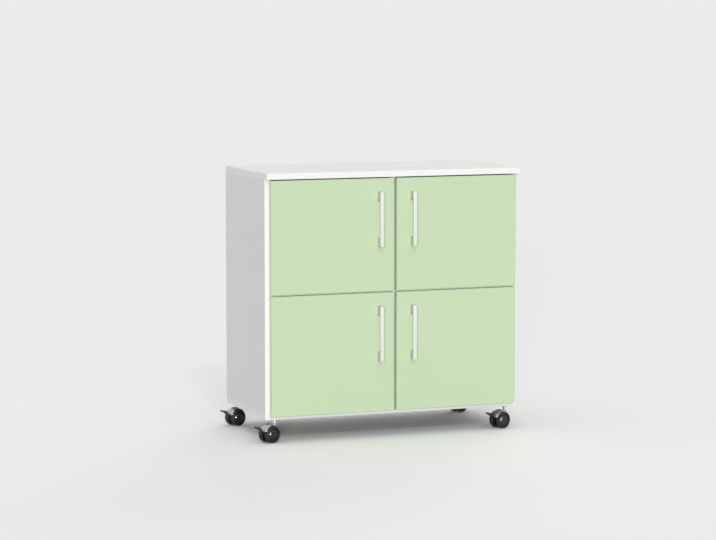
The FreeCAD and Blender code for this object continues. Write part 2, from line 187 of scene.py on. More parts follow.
class Coat(Graph):
    """A node material with one Principled shader, while it is built.

    Attributes:
        material: The material.
        shader: Its Principled node.
        spot: Object coordinates of the spot being shaded.
    """

    def __init__(self, name: str) -> None:
        """Start the material.

        Args:
            name: The material's name.
        """
        self.material = bpy.data.materials.new(name)
        self.material.use_nodes = True
        super().__init__(self.material.node_tree)
        self.shader = self.tree.nodes["Principled BSDF"]
        self.spot = self.add("TexCoord", "Object", {})

    def give(self, **values: Feed) -> None:
        """Feed the shader, with an underscore for each blank in an input's name."""
        self.feed(self.shader, {name.replace("_", " "): value for name, value in values.items()})

    def place(self, axis: int) -> Socket:
        """One of the spot's coordinates: 0 for X, 1 for Y or 2 for Z."""
        return self.add("SeparateXYZ", axis, {0: self.spot})

    def noise(self, width: float, detail: float) -> Socket:
        """Noise whose blobs have a width in metres."""
        return self.add("TexNoise", "Fac", {"Vector": self.spot, "Detail": detail,
                                            "Scale": cycles_per_metre(width)})

    def emboss(self, relief: Socket, strength: float, height: float) -> None:
        """Give the shader a bump.

        Args:
            relief: The pattern, from nought to one.
            strength: How much of it shows.
            height: Its height in metres.
        """
        self.give(Normal=self.add("Bump", "Normal", {"Height": relief, "Strength": strength,
                                                     "Distance": height}))


def dress(piece: Piece, material: Material) -> None:
    """Give a mesh object one material."""
    piece.data.materials.clear()
    piece.data.materials.append(material)


# ---- surfaces
def facing_out(points: Array, quads: Array) -> Array:
    """Quads of a closed surface, all turned round if their signed volume is negative.

    The volume is the sum of a . (b x c) / 6 over the triangles that the quads make.

    Args:
        points: (n, 3) points.
        quads: (m, 4) point numbers; a triangle repeats its last one.

    Returns:
        The quads, facing outwards.
    """
    a, b, c, d = (points[quads[:, corner]] for corner in range(4))
    volume = (a * np.cross(b, c)).sum() + (a * np.cross(c, d)).sum()
    if volume >= 0:
        return quads
    triangle = (quads[:, 2] == quads[:, 3])[:, None]
    return np.where(triangle, quads[:, [0, 2, 1, 1]], quads[:, [0, 3, 2, 1]])


def add_object(name: str, data: bpy.types.ID) -> Piece:
    """Make an object and link it to the scene.

    Args:
        name: The object's name.
        data: Its mesh, lamp or camera.

    Returns:
        The object.
    """
    made = bpy.data.objects.new(name, data)
    bpy.context.scene.collection.objects.link(made)
    return made


def add_piece(name: str, parts: list[Surface], smooth_angle: float = 35.0) -> Piece:
    """Make one mesh object out of several closed surfaces.

    Args:
        name: The piece's name.
        parts: Pairs of an (n, 3) array of points and an (m, 4) array of quads; a quad whose
            last two corners are the same is a triangle.
        smooth_angle: Edges sharper than this many degrees stay crisp.

    Returns:
        The object, linked to the scene.
    """
    points = np.vstack([part[0] for part in parts])
    starts = np.cumsum([0] + [len(part[0]) for part in parts[:-1]])
    quads = np.vstack([facing_out(*part) + start for part, start in zip(parts, starts)])
    triangle = quads[:, 2] == quads[:, 3]
    sizes = np.where(triangle, 3, 4)
    keep = np.ones(quads.shape, bool)
    keep[triangle, 3] = False
    mesh = bpy.data.meshes.new(name)
    mesh.vertices.add(len(points))
    mesh.vertices.foreach_set("co", points.astype(np.float32).ravel())
    mesh.loops.add(int(sizes.sum()))
    mesh.loops.foreach_set("vertex_index", quads[keep].astype(np.int32))
    mesh.polygons.add(len(quads))
    mesh.polygons.foreach_set("loop_start", (np.cumsum(sizes) - sizes).astype(np.int32))
    mesh.update(calc_edges=True)
    mesh.validate()
    mesh.polygons.foreach_set("use_smooth", np.ones(len(mesh.polygons), bool))
    mesh.set_sharp_from_angle(angle=math.radians(smooth_angle))
    return add_object(name, mesh)


def grid_quads(rows: int, columns: int, ring_rows: bool = False) -> Array:
    """Quads of a grid of points numbered row by row, whose columns run once round.

    Quad (i, j) joins point (i, j) to its neighbours at i + 1 and j + 1, counted round.

    Args:
        rows: Number of rows.
        columns: Number of columns.
        ring_rows: Whether the last row joins the first.

    Returns:
        An (m, 4) array of point numbers.
    """
    i, j = np.meshgrid(np.arange(rows if ring_rows else rows - 1), np.arange(columns),
                       indexing="ij")
    next_i = (i + 1) % rows
    next_j = (j + 1) % columns
    corners = [i * columns + j, i * columns + next_j, next_i * columns + next_j,
               next_i * columns + j]
    return np.stack(corners, axis=-1).reshape(-1, 4)


def capped(body: Array, poles: Array) -> Surface:
    """A tube of points, closed at each end by a fan of triangles that meets at a pole.

    Args:
        body: (n, m, 3) points, m round each of n rows.
        poles: (2, 3) points beyond the first and the last row.

    Returns:
        Points and quads.
    """
    rows, columns = body.shape[:2]
    around = np.arange(columns)
    onward = (around + 1) % columns
    pole = np.full(columns, rows * columns)
    last = (rows - 1) * columns
    first_fan = np.stack([pole, onward, around, around], axis=-1)
    last_fan = np.stack([pole + 1, last + around, last + onward, last + onward], axis=-1)
    return (np.vstack([body.reshape(-1, 3), poles]),
            np.vstack([grid_quads(rows, columns), first_fan, last_fan]))


def cross_axes(axis: Array) -> tuple[Array, Array]:
    """Two unit vectors square to an axis and to each other, right-handed with it.

    Args:
        axis: The axis, a unit vector.

    Returns:
        Both vectors.
    """
    helper = np.array([0.0, 0.0, 1.0]) if abs(axis[2]) < 0.9 else np.array([1.0, 0.0, 0.0])
    first = np.cross(helper, axis)
    first /= np.linalg.norm(first)
    return first, np.cross(axis, first)


def circle(axis: Array, steps: int) -> Array:
    """Unit vectors (cos a, sin a) once round an axis.

    Args:
        axis: The axis, a unit vector.
        steps: Number of vectors.

    Returns:
        An (steps, 3) array.
    """
    first, second = cross_axes(axis)
    turn = np.linspace(0.0, 2.0 * np.pi, steps, endpoint=False)
    return np.outer(np.cos(turn), first) + np.outer(np.sin(turn), second)


def turned(profile: Array, origin: Array, axis: Array, steps: int = 64) -> Surface:
    """A surface of revolution.

    Point (i, j) is origin + axis * h_i + (cos a_j, sin a_j) * r_i in the plane square to the
    axis, with a_j going once round.  A profile that starts and ends on the axis gets poles
    there; any other joins its end to its start and makes a ring.

    Args:
        profile: (n, 2) radius and height pairs.
        origin: The point on the axis at height zero.
        axis: Unit vector of the axis.
        steps: Number of columns round the axis.

    Returns:
        Points and quads.
    """
    radius = profile[:, 0][:, None, None]
    height = profile[:, 1][:, None, None]
    points = np.asarray(origin) + np.asarray(axis) * height + circle(axis, steps)[None] * radius
    if profile[0, 0] > 0:
        return points.reshape(-1, 3), grid_quads(len(profile), steps, True)
    return capped(points[1:-1], points[[0, -1], 0])


def rounded(corners: list[Triple], steps: int = 6) -> Array:
    """An open outline through corners, each rounded by a circular arc.

    A corner of radius r between two directions is replaced by the arc of that radius that
    touches both of its sides; it starts and ends r / tan(half the corner's angle) away.  The
    points are complex numbers here, so a quotient of two gives the angle between them.

    Args:
        corners: Radius-height pairs with the rounding radius as a third number, which counts
            for all but the first and the last.
        steps: Number of chords in each arc.

    Returns:
        The outline as an (n, 2) array.
    """
    points = [complex(*corner[:2]) for corner in corners]
    outline = [points[:1]]
    for before, point, after, corner in zip(points, points[1:], points[2:], corners[1:]):
        radius = corner[2]
        back = (before - point) / abs(before - point)
        forward = (after - point) / abs(after - point)
        half = abs(np.angle(forward / back)) / 2.0
        centre = point + (back + forward) / abs(back + forward) * radius / math.sin(half)
        start, end = (point + way * radius / math.tan(half) - centre for way in (back, forward))
        turn = np.linspace(0.0, np.angle(end / start), steps + 1)
        outline.append(centre + start * np.exp(1j * turn))
    line = np.concatenate([*outline, points[-1:]])
    return np.column_stack([line.real, line.imag])


def bar(centres: Array, across: Array, side: Array, half_across: Array | float,
        half_side: Array | float, rounding: Array | float, steps: int = 4) -> Surface:
    """A closed bar of rounded rectangles along a path, with flat ends.

    Corner (p, q) of a section, with p and q each plus or minus one, is the arc
    centre + across * (p (a - r) + r cos t) + side * (q (b - r) + r sin t), and t turns a
    quarter from one corner to the next.  Each end's fan meets at the mean of its section.

    Args:
        centres: (n, 3) points of the path.
        across: Unit vectors of the sections' first direction, one for all or n of them.
        side: Those of their second direction.
        half_across: Half sizes a along the first direction, one or n.
        half_side: Half sizes b along the second one.
        rounding: Corner radii r.
        steps: Number of chords in each corner.

    Returns:
        Points and quads.
    """
    count = len(centres)
    across, side = (np.broadcast_to(way, (count, 3))[:, None] for way in (across, side))
    half_across, half_side, radius = (np.broadcast_to(size, count)[:, None]
                                      for size in (half_across, half_side, rounding))
    quarter = np.linspace(0.0, np.pi / 2.0, steps + 1)
    turn = np.concatenate([quarter + corner * np.pi / 2.0 for corner in range(4)])
    first_sign = np.repeat([1.0, -1.0, -1.0, 1.0], steps + 1)
    second_sign = np.repeat([1.0, 1.0, -1.0, -1.0], steps + 1)
    first = first_sign * (half_across - radius) + radius * np.cos(turn)
    second = second_sign * (half_side - radius) + radius * np.sin(turn)
    sections = centres[:, None] + first[..., None] * across + second[..., None] * side
    return capped(sections, sections[[0, -1]].mean(axis=1))


@dataclass(frozen=True)
class Screw:
    """A screw's head with a cross recess.

    Attributes:
        radius: Radius of the head.
        height: Height of the head above what it holds.
        arm: Length of one arm of the recess.
        slot: Half width of an arm.
        depth: Depth of the recess.
        drop: Share of the height that the dome falls to its edge, and that the edge keeps.
        wall: Angle between the recess's wall and the next column, in radians.
    """

    radius: float
    height: float
    arm: float
    slot: float
    depth: float
    drop: float = 0.45
    wall: float = 0.05

    def surface(self, seat: Array, axis: Array) -> Surface:
        """The head as a height over polar coordinates.

        The height is height * (1 - drop (r / radius)^2) outside the cross and depth less inside
        it.  Columns run along the cross's sides, at an angle asin(slot / r) from each arm, so
        the recess keeps crisp parallel walls.

        Args:
            seat: Where the head's underside meets its axis.
            axis: Unit vector out of the head.

        Returns:
            Points and quads.
        """
        radii = np.array([1.5 * self.slot, 0.6 * self.arm, self.arm, 1.06 * self.arm,
                          0.86 * self.radius, 0.97 * self.radius, self.radius, self.radius])
        edge = np.arcsin(np.clip(self.slot / radii, 0.0, 0.68))[:, None]
        in_arm = np.array([-1.0, 0.0, 1.0])[None] * edge
        share = np.linspace(0.0, 1.0, 6)[None]
        between = edge + self.wall + share * (np.pi / 2.0 - 2.0 * (edge + self.wall))
        quadrant = np.hstack([in_arm, between])
        angle = np.hstack([quadrant + k * np.pi / 2.0 for k in range(4)])
        sunk = np.outer(radii <= self.arm, [1] * in_arm.shape[1] + [0] * between.shape[1])
        dome = self.height * (1.0 - self.drop * (radii / self.radius) ** 2)
        dome[-2:] = self.drop * self.height, 0.0
        level = dome[:, None] - self.depth * np.tile(sunk, 4)
        first, second = cross_axes(axis)
        flat = np.cos(angle)[..., None] * first + np.sin(angle)[..., None] * second
        body = seat + flat * radii[:, None, None] + level[..., None] * np.asarray(axis)
        poles = seat + np.outer([self.height - self.depth, 0.0], axis)
        return capped(body[:, ::-1], poles)


# ---- frame
def joint(name: str) -> tuple[Array, Array]:
    """Position and unit axis of a joint of the frame.

    Args:
        name: The joint's name.

    Returns:
        Its point and its axis.
    """
    found = next(entry for entry in frame["joints"] if entry["name"] == name)
    axis = np.array(found["axis"], float)
    return np.array(found["pos_m"], float), axis / np.linalg.norm(axis)


def fit(piece: Piece, material: Material, body: str, replaced: str = "") -> None:
    """Dress a finished piece, let it ride its body and stand for a CAD node.

    Args:
        piece: The piece.
        material: Its material.
        body: The body that it moves with.
        replaced: The CAD node that it stands for, if any.
    """
    dress(piece, material)
    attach(piece, body)
    if replaced:
        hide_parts(replaced)


# ---- finishes
@dataclass(frozen=True)
class BoardShade:
    """Colours of one kind of board: pressed face, a shade next to it, ABS strip and glue line."""

    facing: str
    cloud: str
    edging: str
    seam: str


@dataclass(frozen=True)
class Melamine:
    """Particle board faced with melamine paper and edged with ABS strip.

    Attributes:
        name: The material's name.
        shade: The colours of facing and edging.
        edges: Edged sides as (axis number, coordinate, direction into the board).
        strip: Thickness of the edging.
        seam: Width of the glue line; a real one is 0.1 mm and wouldn't show.
        blister: Width of one blister of the pressed texture; real ones are about 0.8 mm.
        cloud: Width of the patches of the second shade.
        rubbed: Width of the patches that wiping leaves glossier.
        roughness: Least and greatest roughness of the face.
        strip_roughness: Roughness of the edging.
        relief: How much of the blisters shows, and their height.
        ior: Index of refraction of the resin.
    """

    name: str
    shade: BoardShade
    edges: tuple[tuple[int, float, float], ...]
    strip: float = 1.5 * MM
    seam: float = 0.3 * MM
    blister: float = 2.2 * MM
    cloud: float = 180.0 * MM
    rubbed: float = 40.0 * MM
    roughness: Pair = (0.36, 0.47)
    strip_roughness: float = 0.3
    relief: Pair = (0.16, 0.12 * MM)
    ior: float = 1.52

    def material(self) -> Material:
        """Build the shader: even dense colour, broad soft sheen, smoother edging.

        Returns:
            The material.
        """
        coat = Coat(self.name)
        depth = self.distance_inside(coat)
        strip = coat.reckon("LESS_THAN", depth, self.strip)
        line = coat.reckon("COMPARE", depth, self.strip, self.seam / 2)
        colour = coat.blend(coat.noise(self.cloud, detail=3.0), self.shade.facing,
                            self.shade.cloud)
        colour = coat.blend(strip, colour, self.shade.edging)
        colour = coat.blend(line, colour, self.shade.seam)
        gloss = coat.stretch(coat.noise(self.rubbed, detail=4.0), *self.roughness, NOISE_RANGE)
        gloss = coat.add("Mix", 0, {0: strip, 2: gloss, 3: self.strip_roughness})
        coat.give(Base_Color=colour, Roughness=gloss, IOR=self.ior)
        coat.emboss(coat.reckon("SUBTRACT", coat.noise(self.blister, detail=1.0), line),
                    *self.relief)
        return coat.material

    def distance_inside(self, coat: Coat) -> Socket:
        """Distance from the nearest edged side: the least of (coordinate - side) * direction.

        Args:
            coat: The material while it is built.

        Returns:
            The distance in metres.
        """
        nearest = None
        for axis, side, direction in self.edges:
            inside = coat.reckon("MULTIPLY_ADD", coat.place(axis), direction, -side * direction)
            nearest = inside if nearest is None else coat.reckon("MINIMUM", nearest, inside)
        return nearest


@dataclass(frozen=True)
class Metal:
    """A plated, lacquered or cast metal, with grain of a given size.

    Attributes:
        name: The material's name.
        tint: The metal's colour.
        roughness: Least and greatest roughness.
        grain: Grain width along X, Y and Z, in metres.
        relief: Height of the grain.
        strength: How much of the grain shows.
        detail: How finely the grain is broken up.
        metallic: How much of the surface mirrors as bare metal does.
    """

    name: str
    tint: str
    roughness: Pair
    grain: Triple
    relief: float = 0.02 * MM
    strength: float = 0.3
    detail: float = 3.0
    metallic: float = 1.0

    def material(self) -> Material:
        """Build the shader: a tinted mirror, blurred by the grain.

        Returns:
            The material.
        """
        coat = Coat(self.name)
        scale = tuple(cycles_per_metre(width) for width in self.grain)
        drawn = coat.add("Mapping", "Vector", {"Vector": coat.spot, "Scale": scale})
        grain = coat.add("TexNoise", "Fac",
                         {"Vector": drawn, "Scale": 1.0, "Detail": self.detail})
        coat.give(Metallic=self.metallic,
                  Roughness=coat.stretch(grain, *self.roughness, NOISE_RANGE))
        coat.emboss(grain, self.strength, self.relief)
        self.paint(coat)
        return coat.material

    def paint(self, coat: Coat) -> None:
        """Give the shader one tint all over."""
        coat.give(Base_Color=linear(self.tint))


@dataclass(frozen=True)
class ShadedFootMetal(Metal):
    """A metal whose ground and lacquered front fades to painted shade on the feet further back,
    where they stand between the bar and the door.

    Attributes:
        feet: Colour of the painted shade on the feet, between the bar and the door.
        front: Y coordinate where the front's tint ends.
        back: Y coordinate where the painted shade is full.
    """

    # The feet's grey is painted shade, where they stand back between the bar and the door.
    feet: str = "BFC1BB"
    front: float = 0.0
    back: float = 0.0

    def paint(self, coat: Coat) -> None:
        """Mix the tint and the painted shade by the Y coordinate."""
        share = coat.stretch(coat.place(1), 0.0, 1.0, (self.front, self.back))
        coat.give(Base_Color=coat.blend(share, self.tint, self.feet))


@dataclass(frozen=True)
class HoodMetal(Metal):
    """The plated skin of a castor's hood over bare black moulding in its wheel wells.

    Attributes:
        core: Colour of the moulding.
        middle: The ball's centre.
        inside: Distance from it where the plated skin starts.
        lowest: Height of the skin's lower edge.
    """

    core: str = "111213"
    middle: Triple = (0.0, 0.0, 0.0)
    inside: float = 0.0
    lowest: float = 0.0

    def paint(self, coat: Coat) -> None:
        """Plate what lies far enough from the middle and high enough.

        Args:
            coat: The material while it is built.
        """
        away = coat.add("VectorMath", "Value", {0: coat.spot, 1: self.middle},
                        operation="DISTANCE")
        skin = coat.reckon("MULTIPLY", coat.reckon("GREATER_THAN", away, self.inside),
                           coat.reckon("GREATER_THAN", coat.place(2), self.lowest))
        coat.give(Base_Color=coat.blend(skin, self.core, self.tint), Metallic=skin)


@dataclass(frozen=True)
class Moulding:
    """An injection-moulded or cast polymer with spark-eroded grain and a little floor dust.

    Attributes:
        name: The material's name.
        colour: The polymer's colour.
        dust: Colour of what it picks up.
        soiled: How much of the dust shows, from nought to one.
        roughness: Roughness where it is clean.
        grain: Width of one pit of the mould's texture.
        ior: Index of refraction.
        clearness: How much light passes through.
        patch: Width of one patch of dust.
        dusty: Noise values at which dust sets in and is full.
        dusty_roughness: Roughness under full dust.
        relief: How much of the pits shows, and their depth.
    """

    name: str
    colour: str
    dust: str
    soiled: float
    roughness: float
    grain: float = 0.9 * MM
    ior: float = 1.5
    clearness: float = 0.0
    patch: float = 9.0 * MM
    dusty: Pair = (0.45, 0.75)
    dusty_roughness: float = 0.85
    relief: Pair = (0.25, 0.05 * MM)

    def material(self) -> Material:
        """Build the shader: a plastic sheen over fine grain, duller where dust lies.

        Returns:
            The material.
        """
        coat = Coat(self.name)
        dirt = coat.stretch(coat.noise(self.patch, detail=5.0), 0.0, self.soiled, self.dusty)
        coat.give(Base_Color=coat.blend(dirt, self.colour, self.dust),
                  Roughness=coat.stretch(dirt, self.roughness, self.dusty_roughness),
                  IOR=self.ior, Transmission_Weight=self.clearness)
        coat.emboss(coat.noise(self.grain, detail=2.0), *self.relief)
        return coat.material


# Melamine in cool white and pale green: dense and even, with the broad sheen of a pressed
# face, next to smoother ABS edging, slightly brighter on the white and alike on the green.
WHITE = BoardShade(facing="F4F4F2", cloud="F1F1EE", edging="FAFAF8", seam="C9C8C2")
GREEN = BoardShade(facing="CDE1BC", cloud="CADFB8", edging="CDE1BC", seam="9DB38B")

# Lacquered hardboard: thin, dead flat and duller than the boards.
HARDBOARD = Moulding("white_lacquered_hardboard", "EBEBE8", "D9D8D2", 0.25, 0.6, 1.6 * MM)
# Pressed steel, nickel plated: warm grey and fairly bright, with faint rolling marks.
NICKEL = Metal("pressed_steel_nickel_plated", "C9C5BC", (0.2, 0.32), (1.2 * MM,) * 3)
# Turned steel, chrome plated: nearly a mirror, so it picks up white and black.
CHROME = Metal("turned_steel_chrome_plated", "E4E6E8", (0.06, 0.12), (3 * MM,) * 3, 0.01 * MM)
# Steel screws, zinc plated and chromated: small bright heads with a bluish cast.
ZINC = Metal("steel_screw_zinc_plated", "BFC4C8", (0.22, 0.36), (0.6 * MM,) * 3)
# Polyamide, injection moulded in black: deep black with a grey sheen from the mould's grain.
NYLON = Moulding("polyamide_moulded_black", "111213", "5A5853", 0.08, 0.38)
# The same polyamide under a hard clear lacquer at the wheel's ring: a sharp small highlight,
# which the high index of refraction keeps bright.
POLISHED_NYLON = Moulding("polyamide_lacquered_black", "121314", "5A5853", 0.04, 0.08,
                          2.5 * MM, 1.8)
# Polyurethane tread cast on the wheel: softer, dustier black that hardly shines.
TREAD = Moulding("polyurethane_tread_black", "151516", "6B6862", 0.16, 0.5, 1.2 * MM)
# Polyurethane stud: clear gel that takes the colour of the board behind it.
GEL = Moulding("polyurethane_stud_clear", "E9ECEA", "D8DAD6", 0.10, 0.12, 1.5 * MM, 1.49, 0.8)


# ---- sub-assemblies
class Edge(Enum):
    """The sides of a board's box as (axis number, 0 for the low end or 1 for the high end)."""

    LEFT = (0, 0)
    RIGHT = (0, 1)
    FRONT = (1, 0)
    BACK = (1, 1)
    BOTTOM = (2, 0)
    TOP = (2, 1)


def dress_board(node: str, shade: BoardShade, edged: tuple[Edge, ...]) -> None:
    """Give a board of the frame its melamine, with edging where the real board has it.

    Args:
        node: The board's name in the frame.
        shade: Its colours.
        edged: Its edged sides.
    """
    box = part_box(node)
    sides = tuple((axis, float(box[end][axis]), 1.0 - 2.0 * end)
                  for axis, end in (edge.value for edge in edged))
    dress(frame["nodes"][node], Melamine(f"melamine_{node}", shade, sides).material())


@dataclass
class Carcass:
    """The white box: seven boards with their edged sides, the back and the door bumpers."""

    rim_edges: tuple[Edge, ...] = (Edge.FRONT, Edge.BACK, Edge.LEFT, Edge.RIGHT)
    side_edges: tuple[Edge, ...] = (Edge.FRONT, Edge.BACK)
    inner_edges: tuple[Edge, ...] = (Edge.FRONT,)

    def build(self) -> None:
        """Dress every board, the back and the bumpers."""
        for edged, nodes in ((self.rim_edges, ("top_panel", "bottom_panel")),
                             (self.side_edges, ("left_side_panel", "right_side_panel")),
                             (self.inner_edges, ("centre_divider", "left_shelf", "right_shelf"))):
            for node in nodes:
                dress_board(node, WHITE, edged)
        dress(frame["nodes"]["back_panel"], HARDBOARD.material())
        dress(frame["nodes"]["door_bumpers"], GEL.material())
        LOG.info("carcass: boards, back and bumpers")


@dataclass(frozen=True)
class BowHandle:
    """A cast bow handle: a flat grip bar that flows into two broad feet.

    Attributes:
        corner: Outer bend radius at each end of the grip.
        crotch: Inner bend radius between grip and foot.
        foot_base: Length of a foot on the door.
        foot_neck: Handle's end to the inner side of the grip's start.
        bar: Depth of the grip bar.
        rounding: Radius of the long edges.
        fade: Where the front's tint ends before the bar's back, and the feet's painted shade is
            full behind.
        bend_steps: Number of chords in each bend.
        crisp: Edges sharper than this many degrees stay crisp.
    """

    corner: float = 5.0 * MM
    crotch: float = 9.0 * MM
    foot_base: float = 29.0 * MM
    foot_neck: float = 16.0 * MM
    bar: float = 8.0 * MM
    rounding: float = 1.6 * MM
    fade: Pair = (3.0 * MM, 2.0 * MM)
    bend_steps: int = 8
    crisp: float = 50.0

    def build(self, door: str) -> None:
        """Sweep the handle along its bow.

        The outer and the inner line of the bow have the same number of points; each pair of
        them spans one rounded rectangle as wide as the handle.

        Args:
            door: The door that it rides, such as "upper_left".
        """
        low, high = (np.array(corner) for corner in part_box(f"{door}_handle"))
        front, face = low[1], high[1]
        rear = front + self.bar
        outer, inner = (rounded([(face, high[2] - base, 0), (line, high[2] - neck, bend),
                                 (line, low[2] + neck, bend), (face, low[2] + base, 0)],
                                self.bend_steps)
                        for line, base, neck, bend in (
                            (front, 0.0, 0.0, self.corner),
                            (rear, self.foot_base, self.foot_neck, self.crotch)))
        middle = np.full(len(outer), (low[0] + high[0]) / 2)
        centres = np.column_stack([middle, (outer + inner) / 2])
        depth = outer - inner
        length = np.linalg.norm(depth, axis=1)
        across = np.column_stack([np.zeros(len(outer)), depth / length[:, None]])
        piece = add_piece(f"{door}_bow_handle",
                          [bar(centres, across, (1, 0, 0), length / 2, (high[0] - low[0]) / 2,
                               self.rounding)], self.crisp)
        # Zinc die casting: the front ground and lacquered nearly white with a satin sheen and
        # hardly any mirror; the feet are painted greyer, as painted shade between the bar and the
        # door.
        finish = ShadedFootMetal(f"zinc_casting_satin_{door}", "EBEDE5", (0.34, 0.46),
                             (0.6 * MM, 0.6 * MM, 6 * MM), metallic=0.2,
                             front=rear - self.fade[0], back=rear + self.fade[1])
        fit(piece, finish.material(), f"{door}_door_leaf", f"{door}_handle")


@dataclass(frozen=True)
class Door:
    """A melamine door with its bow handle, hinge cups and screws, all sizes in metres."""

    row: Row
    side: Side
    edges: tuple[Edge, ...] = (Edge.LEFT, Edge.RIGHT, Edge.BOTTOM, Edge.TOP)
    inward: Triple = (0.0, 1.0, 0.0)
    cup_radius: float = 17.5 * MM
    cup_flange_half: float = 27.0 * MM
    cup_screw_inward: float = 8.5 * MM
    cup_screw_spread: float = 22.0 * MM
    handle_screw_spread: float = 64.0 * MM
    cup_screw: Screw = Screw(3.3 * MM, 1.5 * MM, 2.0 * MM, 0.45 * MM, 1.0 * MM)
    handle_screw: Screw = Screw(4.6 * MM, 2.6 * MM, 2.6 * MM, 0.6 * MM, 1.7 * MM)

    @property
    def name(self) -> str:
        """The door's name as the CAD nodes spell it."""
        return f"{self.row.value}_{self.side.word}"

    def build(self) -> None:
        """Dress the leaf and its cups, and add handle and screws."""
        dress_board(f"{self.name}_door", GREEN, self.edges)
        dress(frame["nodes"][f"{self.name}_hinge_cups"], NICKEL.material())
        BowHandle().build(self.name)
        for name, slot, screw, seats in (
                ("cup", "hinge_steel", self.cup_screw, self.cup_screw_seats()),
                ("handle", "handle_metal", self.handle_screw, self.handle_screw_seats())):
            heads = [screw.surface(seat, self.inward) for seat in seats]
            fit(add_piece(f"{self.name}_{name}_screws", heads), ZINC.material(),
                f"{self.name}_door_leaf")
        LOG.info("door %s: leaf, handle and screws", self.name)

    def hinge_heights(self) -> Pair:
        """Heights of the door's two hinges."""
        low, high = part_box(f"{self.name}_hinge_cups")
        return low[2] + self.cup_flange_half, high[2] - self.cup_flange_half

    def cup_screw_seats(self) -> list[Array]:
        """Where the cup flanges' screws sit.

        Returns:
            Points on the flanges, from the lower hinge up.
        """
        low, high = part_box(f"{self.name}_hinge_cups")
        near = min(abs(low[0]), abs(high[0]))
        x = self.side.value * (near + self.cup_radius - self.cup_screw_inward)
        return [np.array([x, high[1], z + way * self.cup_screw_spread])
                for z in self.hinge_heights() for way in (-1, 1)]

    def handle_screw_seats(self) -> list[Array]:
        """Where the handle's screws sit.

        Returns:
            Points on the door's inner face, the lower one first.
        """
        low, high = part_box(f"{self.name}_handle")
        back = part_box(f"{self.name}_door")[1][1]
        x = (low[0] + high[0]) / 2
        z = (low[2] + high[2]) / 2
        return [np.array([x, back, z + way * self.handle_screw_spread]) for way in (-1, 1)]


@dataclass(frozen=True)
class Hinges:
    """The fixed halves of all eight hinges with their screws, all sizes in metres."""

    doors: tuple[Door, ...]
    plate: float = 1.8 * MM
    plate_from_front: float = 37.0 * MM
    plate_screw_spread: float = 16.0 * MM
    plate_screw: Screw = Screw(3.9 * MM, 2.0 * MM, 2.3 * MM, 0.5 * MM, 1.3 * MM)
    arm_face: float = 13.6 * MM
    arm_screws_from_front: Pair = (13.0 * MM, 47.0 * MM)
    arm_screw: Screw = Screw(3.1 * MM, 1.6 * MM, 2.1 * MM, 0.45 * MM, 1.1 * MM)

    def build(self) -> None:
        """Dress arms and plates and set their screws."""
        for node in ("hinge_arms", "hinge_plates"):
            dress(frame["nodes"][node], NICKEL.material())
        heads = [head for door in self.doors for z in door.hinge_heights()
                 for head in self.heads(door.side.value, z)]
        fit(add_piece("hinge_screws", heads), ZINC.material(), "carcass")
        LOG.info("hinges: %d screws", len(heads))

    def heads(self, sign: int, z: float) -> list[Surface]:
        """The screws of one hinge: two above each other in the plate and two along the arm.

        Args:
            sign: The sign of X on the hinge's side.
            z: The hinge's height.

        Returns:
            The heads' surfaces.
        """
        inner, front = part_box("right_side_panel")[0][:2]
        rows = [(self.plate_screw, self.plate, self.plate_from_front, z + way)
                for way in (-self.plate_screw_spread, self.plate_screw_spread)]
        rows += [(self.arm_screw, self.arm_face, behind, z)
                 for behind in self.arm_screws_from_front]
        return [screw.surface(np.array([sign * (inner - level), front + behind, height]),
                              (-sign, 0.0, 0.0))
                for screw, level, behind, height in rows]


@dataclass(frozen=True)
class CastorSizes:
    """Sizes of one castor, in metres; heights are above the floor.

    The wheel's disc lies `inset` inside the tyre's faces.  Behind its `rim` a `groove` runs
    round the ring, whose top is `step` lower than the disc's face and `land` wide inside its
    bevel; the dish within the ring is `dish` deep and holds a hub that is `hub_depth` deeper.
    The laps are how far disc, ring and tyre reach into each other, so that no seam shows.
    The hood's plated skin starts `skin` outside the dome's inner face and below its skirt; the
    beads sink in by `bead_sunk`, and `roundness` is the share of a bead's and of a rib's half
    size that is rounded.
    """

    wheel_radius: float = 25.0 * MM
    wheel_width: float = 16.0 * MM
    wheel_inner_face: float = 6.6 * MM
    tread: float = 3.0 * MM
    shoulder: float = 4.6 * MM
    heel: float = 1.2 * MM
    inset: float = 0.4 * MM
    rim: float = 3.2 * MM
    groove: float = 3.6 * MM
    step: float = 0.2 * MM
    ring_radius: float = 17.4 * MM
    ring_bevel: Pair = (3.3 * MM, 3.45 * MM)
    land: float = 1.0 * MM
    dish: float = 0.9 * MM
    hub: float = 5.5 * MM
    hub_depth: float = 0.8 * MM
    bore_lap: float = 0.4 * MM
    ring_lap: float = 0.3 * MM
    tyre_lap: float = 0.2 * MM
    dome_radius: float = 31.0 * MM
    dome_half_width: float = 14.0 * MM
    dome_inside: float = 25.8 * MM
    dome_skirt: float = 10.0 * MM
    dome_brow: float = 16.0 * MM
    skin: Pair = (0.5 * MM, 0.2 * MM)
    bead: float = 0.95 * MM
    bead_sunk: float = 0.4 * MM
    roundness: Pair = (0.95, 0.9)
    stem_radius: float = 4.4 * MM
    collar_radius: float = 7.0 * MM
    collar_height: float = 2.5 * MM
    flange_radius: float = 10.0 * MM
    flange_thickness: float = 2.0 * MM
    lever_bend: float = 26.0 * MM
    lever_turn: float = math.radians(45.0)
    lever_steps: tuple[int, int] = (24, 40)
    lever_thickness: float = 4.0 * MM
    lever_edge: float = 1.1 * MM
    lever_end: float = 4.0 * MM
    lever_thinning: float = 0.5 * MM
    lever_tongue: float = 4.4 * MM
    lever_eye: float = 4.8 * MM
    lever_width: float = 20.0 * MM
    lever_tip_width: float = 17.0 * MM
    lever_flare: Pair = (12.0 * MM, 17.5 * MM)
    rib_margin: float = 1.8 * MM
    rib: float = 0.5 * MM
    rib_sections: tuple[int, ...] = (-20, -16, -12, -8)


